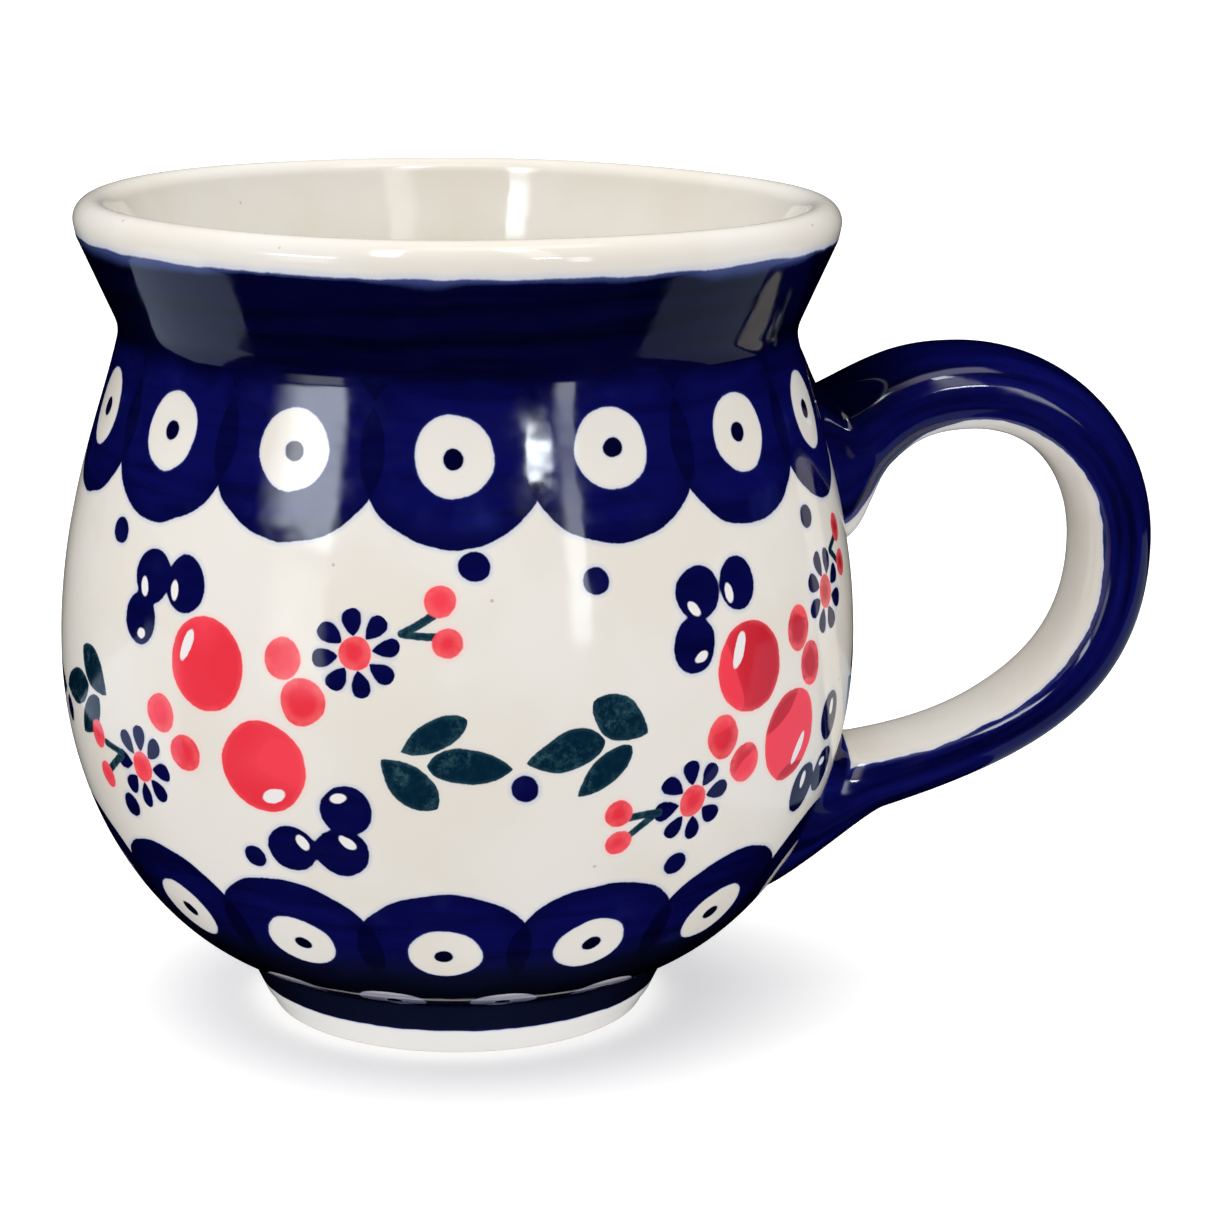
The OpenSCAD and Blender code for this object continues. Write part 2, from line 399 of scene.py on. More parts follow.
SPRAY_B = {
    "angle": 42,
    "berry": [(-11.7, 14.4, 3.1, 3.3), (-5.5, 14.7, 2.9, 3.2), (-13.0, 8.3, 3.1, 3.3),
              (15.2, -5.7, 2.9, 3.2), (9.6, -14.0, 3.0, 3.2), (15.6, -13.0, 3.0, 3.1)],
    "big": [(-4.1, 4.5, 5.4, 5.6, 0), (4.1, -5.6, 5.45, 5.8, -5)],
    "small": [(5.7, 7.4, 2.4, 2.8), (8.4, 2.5, 2.4, 2.8), (-8.7, -3.2, 2.4, 2.7), (-4.9, -7.3, 2.4, 2.6),
              (20.6, 17.1, 1.75, 1.75), (21.1, 12.5, 1.75, 1.75), (-22.6, -10.9, 1.8, 1.7),
              (-21.9, -14.9, 1.75, 1.65)],
    "blossom": [(13.7, 10.4, 22), (-12.6, -10.7, 10)],
    "stem": [(17.0, 14.8, 19.4, 16.2), (17.0, 14.8, 19.8, 12.9),
             (-17.1, -11.4, -21.0, -11.6), (-17.9, -11.7, -20.6, -14.0)],
    "dab": [(-12.5, 12.5, 0.6, 1.1, 40), (-7.1, 13.7, 0.6, 1.15, 10), (-12.1, 6.8, 1.0, 0.55, 20),
            (15.6, -4.6, 0.6, 1.1, 0), (9.4, -12.9, 0.6, 1.1, 0), (15.0, -11.8, 0.9, 0.6, 0),
            (-6.1, 6.8, 0.75, 2.2, -20), (6.2, -7.8, 0.7, 2.2, -28)],
    "dot": [(10.9, 20.1, 1.55), (-12.9, -19.1, 1.6), (-24.7, 17.1, 1.6)],
}
# A pair of leafy twigs: middle across, up, length, width, and where the point faces
LEAVES = [(-10.7, 6.5, 8.5, 3.9, 206), (-6.4, 2.8, 9.8, 4.5, -3), (-13.4, 0.7, 8.6, 4.6, 137),
          (4.8, 4.3, 9.8, 4.6, 194), (11.4, 7.7, 8.3, 4.9, -32), (9.6, 1.6, 8.6, 3.8, 220)]


def again(spray, angle, seed):
    """The same spray painted again elsewhere by hand: every stroke lands a little differently."""
    draw = np.random.default_rng(seed)

    def moved(strokes, joined):
        out = []
        for s in strokes:
            dx, dy = draw.uniform(-0.35, 0.35, 2)
            out.append((s[0] + dx, s[1] + dy) + tuple(s[2:]) if not joined else tuple(s))
        return out

    fixed = ("stem", "dab")
    return {k: (angle if k == "angle" else moved(v, k in fixed)) for k, v in spray.items()}


SPRAYS = [SPRAY_A, SPRAY_B, again(SPRAY_A, 136, 3), again(SPRAY_B, -125, 5)]
TWIG_ANGLES = [2.9, 88.5, 185.5, -79.5]
TWIG_DOTS = [(0.0, 0.1, 1.65)]


def strokes_of_design():
    """Every stroke of the garland as (kind, angle, up, rest)."""
    found = []

    def place(kind, centre, base, stroke):
        up = base + stroke[1]
        angle = centre + math.degrees(stroke[0] / radius_at(up))
        rest = tuple(stroke[2:])
        if kind == "stem":
            end_up = base + stroke[3]
            rest = (centre + math.degrees(stroke[2] / radius_at(end_up)), end_up)
        found.append((kind, angle, up, rest))

    for spray in SPRAYS:
        for kind, strokes in spray.items():
            if kind != "angle":
                for stroke in strokes:
                    place(kind, spray["angle"], GARLAND_UP, stroke)
    for centre in TWIG_ANGLES:
        for leaf in LEAVES:
            place("leaf", centre, LEAVES_UP, leaf)
        for dot in TWIG_DOTS:
            place("dot", centre, LEAVES_UP, dot)
    return found


DESIGN = strokes_of_design()
ROUND = math.radians(1) * BELLY_R  # millimetres across for each degree, at the belly


def stroke_distances(g, at, kind, strokes, groups):
    """The distance from the nearest stroke of a kind, below zero inside it."""
    distances = []
    for angle, up, rest in strokes:
        squeeze = BELLY_R / radius_at(up)
        x = angle * ROUND
        if kind in ("berry", "big", "small", "dab", "dot"):
            wide, tall = rest[0] * squeeze, rest[1] if len(rest) > 1 else rest[0]
            turn = rest[2] if len(rest) > 2 else 0
            near = g.length(g.local(at, x, up, wide, tall, turn))
            size = (rest[0] + tall) / 2
            distances.append(g.math("MULTIPLY_ADD", near, size, -size))
        elif kind == "leaf":
            long, wide, turn = rest
            inner = g.local(at, x, up, long / 2 * squeeze, wide / 2, turn)
            distances.append(g.math("MULTIPLY", group_value(g, groups["leaf"], inner), wide / 2))
        elif kind == "blossom":
            inner = g.local(at, x, up, squeeze, 1.0, rest[0])
            distances.append(group_value(g, groups["petals"], inner))
        elif kind == "stem":
            end_x = rest[0] * ROUND
            dx, dy = end_x - x, rest[1] - up
            half = math.hypot(dx, dy) / 2
            inner = g.local(at, (x + end_x) / 2, (up + rest[1]) / 2, 1, 1, math.degrees(math.atan2(dy, dx)))
            kept = g.vector("MAXIMUM", g.vector("MINIMUM", inner, (half, 0, 0)), (-half, 0, 0))
            distances.append(g.math("SUBTRACT", g.length(g.vector("SUBTRACT", inner, kept)), STEM_R))
    # berries whose strokes touch run together
    return g.union(distances, blend=0.9 if kind == "berry" else None)


STEM_R = 0.5
PETAL_MIDDLE = 3.65  # from the middle of a blossom to the middle of a petal
PETAL_SIZE = (1.62, 1.08)
BLOSSOM_HEART = (1.9, 2.0)
FAR = 9.0  # stands for the distance to a stroke where there is none
STROKE_REACH = 9  # degrees that the widest stroke reaches past its middle


def group_value(g, group, vector):
    node = g.tree.nodes.new("ShaderNodeGroup")
    node.node_tree = group
    g.tree.links.new(vector, node.inputs[0])
    return node.outputs[0]


def new_group(name):
    group = bpy.data.node_groups.new(name, "ShaderNodeTree")
    group.interface.new_socket("Vector", in_out="INPUT", socket_type="NodeSocketVector")
    group.interface.new_socket("Value", in_out="OUTPUT", socket_type="NodeSocketFloat")
    g = Graph(group)
    start = group.nodes.new("NodeGroupInput").outputs[0]
    end = group.nodes.new("NodeGroupOutput").inputs[0]
    return group, g, start, end


def leaf_distance(g, vector, blunt):
    """How far outside a leaf that fills -1 to 1, pointed at +1 and blunt at -1."""
    x, y, _ = g.split(vector)
    point = g.math("POWER", g.math("MAXIMUM", g.math("SUBTRACT", 1.0, x), 0.0), 0.85)
    rounded = g.math("POWER", g.math("MAXIMUM", g.math("ADD", 1.0, x), 0.0), blunt)
    half = g.math("MULTIPLY", point, rounded)
    beyond = g.math("MULTIPLY", g.math("MAXIMUM", g.math("SUBTRACT", g.math("ABSOLUTE", x), 1.0), 0.0), 3.0)
    return g.math("ADD", g.math("SUBTRACT", g.math("ABSOLUTE", y), half), beyond)


def make_groups():
    leaf, g, start, end = new_group("leaf_shape")
    g.tree.links.new(leaf_distance(g, start, 0.68), end)

    petals, g, start, end = new_group("petal_ring")
    x, y, _ = g.split(start)
    eighth = math.pi / 8
    turned_to = g.math("WRAP", g.math("ARCTAN2", y, x), eighth, -eighth)
    far = g.length(start)
    out = g.math("SUBTRACT", PETAL_MIDDLE, g.math("MULTIPLY", far, g.math("COSINE", turned_to)))
    side = g.math("MULTIPLY", far, g.math("SINE", turned_to))
    inner = g.join(g.math("DIVIDE", out, PETAL_SIZE[0]), g.math("DIVIDE", side, PETAL_SIZE[1]))
    g.tree.links.new(g.math("MULTIPLY", leaf_distance(g, inner, 0.45), PETAL_SIZE[1]), end)
    return {"leaf": leaf, "petals": petals}


def eye_row(g, x, up, eye):
    """A row of eyes as distances: (the discs, where two discs lie over each other, cream rings, pupils)."""
    squeeze = radius_at(eye["up"]) / BELLY_R
    half = EYE_STEP / 2 * ROUND
    shifted = g.math("SUBTRACT", x, eye["angle"] * ROUND)
    number = g.math("FLOOR", g.math("DIVIDE", g.math("ADD", shifted, half), 2 * half))
    across = g.math("MULTIPLY", g.math("WRAP", shifted, half, -half), squeeze)
    # a row may wander up towards the sides, as a band painted by eye does
    around = g.math("SINE", g.math("DIVIDE", shifted, BELLY_R))
    rise = g.math("MULTIPLY", g.math("MULTIPLY", around, around), eye.get("rise", 0))
    high = g.math("SUBTRACT", g.math("SUBTRACT", up, eye["up"]), rise)
    chance = g.add("ShaderNodeTexWhiteNoise", {"W": number}, out="Color", noise_dimensions="1D")
    offset = g.vector("MULTIPLY", g.vector("SUBTRACT", chance, (0.5, 0.5, 0.5)), (0.5, 0.5, 0))
    spot = g.vector("SUBTRACT", g.join(across, high), offset)
    wide, tall = eye["ring"]
    ring = g.math("MULTIPLY_ADD", g.length(g.vector("DIVIDE", spot, (wide, tall, 1))), wide, -wide)
    pupil_at = g.vector("ADD", spot, g.vector("MULTIPLY", offset, (1.2, -1.2, 0)))
    pupil = g.math("SUBTRACT", g.length(pupil_at), eye["pupil"])
    if "disc" not in eye:
        return None, None, ring, pupil
    own = g.math("SUBTRACT", g.length(g.join(across, high)), eye["disc"])
    beside = g.math("SUBTRACT", g.math("ABSOLUTE", across), 2 * half * squeeze)
    other = g.math("SUBTRACT", g.length(g.join(beside, high)), eye["disc"])
    return g.math("MINIMUM", own, other), g.math("MAXIMUM", own, other), ring, pupil


def painted_material(number, groups):
    """The painted outside between two angles: bands of eyes, and the strokes of the garland that reach it."""
    material, g, shader, place = new_material(f"painted_glaze_{number + 1:02d}")
    width = 360 / CELLS
    middle = -180 + (number + 0.5) * width

    flat = g.add("ShaderNodeUVMap", uv_map="unrolled")
    drift = g.vector("SUBTRACT", g.noise(place, 0.16, 1.0, out="Color"), (0.5, 0.5, 0.5))
    edge = g.vector("SUBTRACT", g.noise(place, 1.6, 2.0, out="Color"), (0.5, 0.5, 0.5))
    at = g.vector("ADD", flat, g.vector("MULTIPLY", drift, (1.0, 1.0, 0)))
    at = g.vector("ADD", at, g.vector("MULTIPLY", edge, (0.18, 0.18, 0)))
    x, up, _ = g.split(at)

    near = {}
    for kind, angle, height, rest in DESIGN:
        off = (angle - middle + 180) % 360 - 180
        if abs(off) < width / 2 + STROKE_REACH:
            shift = middle + off - angle
            if kind == "stem":
                rest = (rest[0] + shift, rest[1])
            near.setdefault(kind, []).append((angle + shift, height, rest))
            if kind == "blossom":
                near.setdefault("small", []).append((angle + shift, height, BLOSSOM_HEART))
    dist = {kind: stroke_distances(g, at, kind, strokes, groups) for kind, strokes in near.items()}

    ground = cream_ground(g, place)
    blue = cobalt(g, place)

    # the two bands with their scalloped edges
    top_discs, top_over, top_ring, top_pupil = eye_row(g, x, up, TOP_EYE)
    low_discs, low_over, low_ring, low_pupil = eye_row(g, x, up, LOW_EYE)
    _, _, foot_ring, foot_pupil = eye_row(g, x, up, FOOT_EYE)
    top_band = g.math("MINIMUM", top_discs, g.math("SUBTRACT", TOP_EYE["up"], up))
    top_band = g.math("MAXIMUM", top_band, g.math("MULTIPLY", g.math("SUBTRACT", up, LIP_LINE), 0.6))
    low_band = g.math("MINIMUM", low_discs, g.math("SUBTRACT", up, LOW_EYE["up"]))
    blue_at = g.union([top_band, low_band] + [dist[k] for k in ("berry", "dot", "blossom") if k in dist])
    red_at = g.union([dist[k] for k in ("big", "small") if k in dist] or [g.math("ADD", FAR, 0.0)])
    green_at = g.union([dist[k] for k in ("leaf", "stem") if k in dist] or [g.math("ADD", FAR, 0.0)])

    # each colour bleeds a little into the glaze round it
    colour = g.mix(g.step(red_at, 0.8, 0.0, 0.0, 0.5), ground, BLUSH)
    colour = g.mix(g.step(green_at, 0.7, 0.0, 0.0, 0.15), colour, BLEED)
    colour = g.mix(g.step(blue_at, 0.7, 0.0, 0.0, 0.45), colour, BLEED)

    # cobalt: brighter in each disc, deeper where discs lie over each other, between them and up the neck, and with
    # painted shade towards the crease
    over = g.math("MAXIMUM", g.inside(top_over, 0.12), g.inside(low_over, 0.12))
    beside = g.step(g.math("MINIMUM", top_discs, low_discs), -0.15, 0.4)
    in_band = g.inside(g.math("MINIMUM", top_band, low_band), 0.1)
    on_neck = g.step(up, NECK_UP - 0.8, NECK_UP + 0.6, 0.0, 0.9)
    # darker towards the crease and up the neck: partly the deep cobalt band, partly painted shade in the crease under
    # the neck's overhang
    blurred_up = g.math("MULTIPLY_ADD", g.noise(place, 0.12, 3.0), 5.0, up)
    crease_band_and_shade = g.step(blurred_up, NECK_UP - 1.2, NECK_UP + 2.5, 0.0, 0.9)
    rim_shade = g.step(g.math("MINIMUM", top_discs, low_discs), -3.2, -0.2, 0.0, 0.35)
    between = g.math("MULTIPLY", g.math("MULTIPLY", beside, in_band), 0.7)
    deep = g.math("MAXIMUM", between, g.math("MULTIPLY", over, 0.6))
    brushed = g.noise(g.join(g.math("MULTIPLY", x, 0.025), g.math("MULTIPLY", up, 0.45)), 1.0, 2.0)
    dark = g.mix(g.step(brushed, 0.4, 0.7), NAVY_DEEP, NAVY_BLACK)
    for shade in (crease_band_and_shade, rim_shade, on_neck):
        deep = g.math("MAXIMUM", deep, shade)
    blue = g.mix(deep, blue, dark)
    # painted reflection: low on the belly, where it faces down towards the table, the cobalt turns greyer, as the
    # pale table is seen in the glaze
    blue = g.mix(g.step(up, 19.0, 11.0, 0.0, 0.8), blue, NAVY_TABLE_REFLECTION)
    spread = g.step(g.noise(place, 0.035, 2.0), 0.35, 0.7, -0.5, -2.4)
    below_lip = g.math("DIVIDE", g.math("SUBTRACT", up, LIP_LINE), spread)
    blue = g.mix(g.step(below_lip, 1.0, 0.0, 0.0, 0.6), blue, FRINGE)
    colour = g.mix(g.inside(blue_at), colour, blue)

    # the eyes' cream rings and their pupils
    rings = g.union([top_ring, low_ring, foot_ring])
    pupils = g.union([top_pupil, low_pupil, foot_pupil])
    colour = g.mix(g.step(rings, 0.35, 0.0, 0.0, 0.5), colour, NAVY_THIN)
    ring = g.mix(g.step(rings, -0.5, 0.0, 0.0, 0.35), ground, BLEED)
    ring = g.mix(g.step(up, 8.0, 4.0, 0.0, 0.75), ring, NAVY_THIN)  # painted shade: the lowest row of rings is darkened, as it lies in shade under the belly
    colour = g.mix(g.inside(rings), colour, ring)
    colour = g.mix(g.step(pupils, 0.4, 0.0, 0.0, 0.35), colour, BLEED)
    colour = g.mix(g.inside(pupils), colour, NAVY_DEEP)

    # leaves and stems in dark teal
    grain = g.noise(place, 1.1, 4.0, 0.75)
    sponged = g.math("MULTIPLY", g.step(grain, 0.42, 0.72), g.step(g.noise(place, 0.22, 1.0), 0.4, 0.6, 0.1, 0.9))
    green = g.mix(sponged, TEAL, TEAL_THIN)
    green = g.mix(g.step(green_at, -0.6, -0.1, 0.0, 0.3), green, TEAL_THIN)
    colour = g.mix(g.inside(green_at), colour, green)

    # red berries: a lighter rim, and darker patches where the second touch of the brush lay, made far stronger on the
    # handle's side of the mug as painted shade
    for kind, rim, strength in (("big", 0.8, 0.3), ("small", 1.5, 0.75)):
        if kind in dist:
            d = dist[kind]
            wash = g.noise(place, 0.085, 1.0, 0.4)
            patchy = g.noise(place, 0.55, 2.0, 0.6)
            red = g.mix(g.step(wash, 0.42, 0.58), RED, RED_DEEP)
            # painted shade: the dark patches rise from a tenth to nine tenths from about 25 to 43 degrees round
            # towards the handle
            second_coat_and_shade = g.math("MULTIPLY", g.step(wash, 0.45, 0.465), g.step(x, 22.0, 38.0, 0.1, 0.9))
            red = g.mix(second_coat_and_shade, red, RED_DARK)
            edge_wash = g.math("MULTIPLY", g.step(d, -rim, -0.1, 0.0, strength), g.step(patchy, 0.35, 0.6, 0.35, 1.0))
            red = g.mix(edge_wash, red, CORAL)
            colour = g.mix(g.inside(d, 0.1), colour, red)

    if "dab" in dist:
        colour = g.mix(g.inside(dist["dab"], 0.12), colour, DAB)
    finish_glaze(g, shader, place, colour)
    return material


# ---------------------------------------------------------------- the mug's thrown pieces

groups = make_groups()


def thrown_piece(name, outline, loop, node, materials, pick=None, flip=False, shown_rows=None):
    """A turned piece, with its unrolled place for the paint and a sheet for baking."""
    outline = np.asarray(outline)
    lengths = along(outline)
    points, faces, corners = turned(outline, loop, flip)
    unrolled, sheet = [], []
    rows = len(outline)
    shown = shown_rows or rows - 1
    for corner, row, column in corners:
        for turn, at in corner:
            angle = -180 + 360 * turn / COLUMNS
            up = lengths[at] if at < rows else lengths[-1] + 1
            unrolled.append((angle * ROUND, up))
            across = turn / COLUMNS
            if row < shown:
                # two strips, one for each half of the turn
                half = 0 if column < COLUMNS // 2 else 1
                v = up / lengths[shown]
                sheet.append((0.01 + 0.98 * (across * 2 - half), 0.03 + half * 0.48 + 0.46 * v))
            else:
                v = (at - shown) / max(rows - shown, 1)
                sheet.append((0.01 + 0.98 * across, 0.003 + 0.02 * v))
    piece = new_piece(name, hand_thrown(points), faces, {"unrolled": unrolled, "OFBake": sheet}, node)
    for material in materials:
        piece.data.materials.append(material)
    if pick:
        indices = [pick(row, column) for _, row, column in corners]
        piece.data.polygons.foreach_set("material_index", indices)
    return piece


# the painted coat on the outside, with its thickness
foot_rise = [(foot_wall(z), z) for z in (FOOT_GLAZE_Z, 4.6, 5.4, 6.2, 6.8)] + [(27.8, 7.3), (28.2, 7.75)]
outer_line = outside(0, 14)
foot_length = along(np.vstack([foot_rise, outer_line[:1]]))[-1] - UP_START
inner_line = outside(GLAZE, 5)[::-1]
inner_rise = [(FOOT_R + 0.1, 8.0), (FOOT_R - GLAZE, 7.1), (foot_wall(FOOT_GLAZE_Z) - GLAZE, FOOT_GLAZE_Z)]
coat = np.vstack([foot_rise, outer_line, inner_line, inner_rise])
painted = [painted_material(i, groups) for i in range(CELLS)]
shown = len(foot_rise) + len(outer_line) - 1
skin = thrown_piece(
    "painted_outer_glaze", coat, True, "outer_glaze", painted,
    pick=lambda row, column: column * CELLS // COLUMNS, shown_rows=shown,
)
# the paint is measured from where the belly leaves the foot
layer = skin.data.uv_layers["unrolled"].data
values = np.zeros(len(layer) * 2, np.float32)
layer.foreach_get("uv", values)
values[1::2] -= foot_length
layer.foreach_set("uv", values)


def liner_material():
    """Clear glaze over cream clay, that pools and turns warmer down in the cup."""
    material, g, shader, place = new_material("liner_glaze")
    _, _, z = g.split(place)
    colour = g.mix(g.step(z, 104.0, 63.0, 0.0, 0.6), cream_ground(g, place), linear(218, 215, 190))
    finish_glaze(g, shader, place, colour)
    return material


liner_line = np.vstack([inside(0, 12), inside(GLAZE, 5)[::-1]])
liner_shown = len(inside(0, 12)) - 1
thrown_piece(
    "cup_liner_glaze", liner_line, False, "liner_glaze",
    [liner_material()], shown_rows=liner_shown, flip=True,
)


def clay_material():
    material, g, shader, place = new_material("biscuit_clay")
    grain = g.noise(place, 2.2, 4.0, 0.6)
    colour = g.mix(g.step(grain, 0.35, 0.7), linear(214, 205, 190), linear(226, 219, 206))
    g.tree.links.new(colour, shader.inputs["Base Color"])
    g.tree.links.new(g.step(grain, 0.2, 0.8, 0.55, 0.8), shader.inputs["Roughness"])
    bump = g.add("ShaderNodeBump", {"Strength": 1.0, "Distance": 0.03 * MM, "Height": grain}, out="Normal")
    g.tree.links.new(bump, shader.inputs["Normal"])
    return material


clay_line = np.vstack([
    [(0, FOOT_HOLLOW), (FOOT_BORE_R - 2, FOOT_HOLLOW), (FOOT_BORE_R, FOOT_HOLLOW + 0.4), (FOOT_BORE_R, 8.5)],
    outside(GLAZE, 4),
    inside(GLAZE, 4)[1:],
])
thrown_piece("clay_body", clay_line, False, "body", [clay_material()])


def foot_material():
    material, g, shader, place = new_material("turned_foot")
    _, _, z = g.split(place)
    # painted light: the foot's cream is mixed well towards white, standing in for light in the shade under the belly
    colour = g.mix(0.6, cream_ground(g, place), linear(250, 250, 250))
    edge = g.math("MULTIPLY_ADD", g.noise(place, 0.25, 2.0), 0.5, z)
    colour = g.mix(g.step(edge, 3.6, 3.95, 0.0, 0.45), colour, BLEED)
    colour = g.mix(g.step(edge, 3.88, 4.02), colour, cobalt(g, place))
    bare = g.step(z, 0.25, 0.05)
    colour = g.mix(bare, colour, linear(216, 205, 190))
    finish_glaze(g, shader, place, colour)
    rough = g.math("MAXIMUM", g.step(g.noise(place, 0.35, 3.0), 0.3, 0.8, 0.1, 0.2), g.math("MULTIPLY", bare, 0.75))
    g.tree.links.new(rough, shader.inputs["Roughness"])
    return material


def eased_corner(corner, leaves, joins):
    """Points round a corner eased by FOOT_EASE, from the side it leaves to the side it joins."""
    a = np.linspace(0, math.pi / 2, 5)[:, None]
    away = np.array(leaves) * (1 - np.sin(a)) + np.array(joins) * (1 - np.cos(a))
    return [tuple(p) for p in np.array(corner) + FOOT_EASE * away]


foot_line = (
    [(FOOT_BORE_R, 8.5), (FOOT_BORE_R, FOOT_HOLLOW)]
    + eased_corner((FOOT_BORE_R - 1.5, 0), (0, 1), (1, 0))
    + eased_corner((FOOT_LOW_R, 0), (-1, 0), (0, 1))
    + [(foot_wall(2.2), 2.2), (foot_wall(FOOT_GLAZE_Z), FOOT_GLAZE_Z)]
    + [(foot_wall(FOOT_GLAZE_Z) - GLAZE, FOOT_GLAZE_Z)]
    + [(FOOT_R - GLAZE, 7.0), (FOOT_R + 0.6, 8.5)]
)
thrown_piece("turned_foot_ring", foot_line, True, "foot_ring", [foot_material()])

# ---------------------------------------------------------------- the pulled handle and its joints

RING = 48
STRAP_STEPS = 120
# how much the strap thickens on top towards the upper joint, and on the side of the fingers towards
# the lower one, and over what share of its length
UPPER_GAIN, UPPER_GAIN_SHARE = 1.2, 0.12
LOWER_GAIN, LOWER_GAIN_SHARE = 2.0, 0.15
JOINT_STEPS = 22


def strap_samples(count):
    """Centre line points (x, z), headings and taper shares along the strap."""
    per = [max(2, round(count * s)) for s in STRAP_SHARES]
    points, shares, done = [], [], 0.0
    for i, (curve, n) in enumerate(zip(STRAP_CURVES, per)):
        first = 0 if i == 0 else 1
        points.append(bezier(curve, n, first))
        shares.append(done + STRAP_SHARES[i] * np.arange(first, n + 1) / n)
        done += STRAP_SHARES[i]
    points, shares = np.vstack(points), np.concatenate(shares)
    heading = np.gradient(points, axis=0)
    heading[0] = np.array(STRAP_CURVES[0][1]) - STRAP_CURVES[0][0]
    heading[-1] = np.array(STRAP_CURVES[2][3]) - STRAP_CURVES[2][2]
    heading /= np.linalg.norm(heading, axis=1)[:, None]
    return points, heading, shares


def section(centre, heading, width, thick, outer_gain, inner_gain):
    """A ring of points round the strap: the first lies on its outer face. The gains thicken one face."""
    a = 2 * math.pi * np.arange(RING) / RING
    across = np.sign(np.cos(a)) * np.abs(np.cos(a)) ** (2 / SQUARENESS) * thick / 2
    across = across * np.where(across > 0, 1 + 2 * outer_gain / thick, 1 + 2 * inner_gain / thick)
    sideways = np.sign(np.sin(a)) * np.abs(np.sin(a)) ** (2 / SQUARENESS) * width / 2
    return np.stack([centre[0] - heading[1] * across, sideways, centre[1] + heading[0] * across], 1)


def footprint(outer_z, inner_z, middle_z, half_width, narrow):
    """Where a joint meets the body: (points on the outside, normals, directions outward along it)."""
    a = 2 * math.pi * np.arange(RING) / RING
    c, s = np.cos(a), np.sin(a)
    z = middle_z + np.where(c > 0, c * (outer_z - middle_z), -c * (inner_z - middle_z))
    slim = 1 - narrow * ((1 - c) / 2) ** 1.5
    y = half_width * np.sign(s) * np.abs(s) ** 0.9 * slim
    r = radius_at_height(z)
    x = np.sqrt(r**2 - y**2)
    slope = radius_at_height(z + 0.5) - radius_at_height(z - 0.5)
    normal = np.stack([x / r, y / r, -slope], 1)
    normal /= np.linalg.norm(normal, axis=1)[:, None]
    points = np.stack([x, y, z], 1)
    outward = points - points.mean(0)
    outward -= (outward * normal).sum(1)[:, None] * normal
    outward /= np.linalg.norm(outward, axis=1)[:, None]
    return points, normal, outward


inner_side = ((1 - np.cos(2 * math.pi * np.arange(RING) / RING)) / 2)[:, None]


def joint_rings(start, before, pull, foot, reach, flares):
    """Rings from the strap's end to the body: each face runs on as it did in the strap, then spreads to land.
    pull is how strongly it runs on, on the outer side and on the side of the fingers,
    reach is how strongly they land and flares how flat, on the outer side and on the side of the fingers."""
    points, normal, outward = foot
    leaving = start - before
    leaving /= np.linalg.norm(leaving, axis=1)[:, None]
    leaving *= pull[0] + (pull[1] - pull[0]) * inner_side
    flare = flares[0] + (flares[1] - flares[0]) * inner_side
    end_pull = (reach[0] + (reach[1] - reach[0]) * inner_side) * (-normal * (1 - flare) + outward * flare)
    rings = []
    for t in np.linspace(0, 1, JOINT_STEPS + 1):
        h = (2 * t**3 - 3 * t**2 + 1, t**3 - 2 * t**2 + t, -2 * t**3 + 3 * t**2, t**3 - t**2)
        rings.append(h[0] * start + h[1] * leaving + h[2] * points + h[3] * end_pull)
    rings.append(points - normal * 0.8 + outward * 0.1)
    rings.append(points - normal * 1.6)
    return rings


centres, headings, shares = strap_samples(STRAP_STEPS)
upper_gain = UPPER_GAIN * np.clip(1 - shares / UPPER_GAIN_SHARE, 0, 1) ** 2
lower_gain = LOWER_GAIN * np.clip(1 - (1 - shares) / LOWER_GAIN_SHARE, 0, 1) ** 2
widths, thicknesses = (a + (b - a) * shares for a, b in (STRAP_W, STRAP_T))
strap = [section(*values) for values in zip(centres, headings, widths, thicknesses, upper_gain, lower_gain)]
upper_foot = footprint(outer_z=86.0, inner_z=59.8, middle_z=74.3, half_width=11.6, narrow=0.45)
lower_foot = footprint(outer_z=12.4, inner_z=36.6, middle_z=25.3, half_width=10.0, narrow=0.0)
upper = joint_rings(strap[0], strap[1], pull=(6, 9), foot=upper_foot, reach=(3.5, 11), flares=(0.5, 0.1))
lower = joint_rings(strap[-1], strap[-2], pull=(10, 10), foot=lower_foot, reach=(13, 6), flares=(0.2, 0.6))

rings = np.array(upper[::-1] + strap[1:-1] + lower)
first_strap = len(upper) - 1
last_strap = len(upper) + len(strap) - 2
run = np.concatenate([[0], np.cumsum(np.linalg.norm(np.diff(rings.mean(1), axis=0), axis=1))])
run -= run[first_strap]

# one set of normals for all three pieces, so that the surface runs on across their seams
round_way = np.roll(rings, -1, 1) - np.roll(rings, 1, 1)
long_way = np.gradient(rings, axis=0)
normals = np.cross(long_way, round_way)
normals /= np.maximum(np.linalg.norm(normals, axis=2), 1e-9)[:, :, None]
if ((rings - rings.mean(1)[:, None]) * normals).sum() < 0:
    normals = -normals


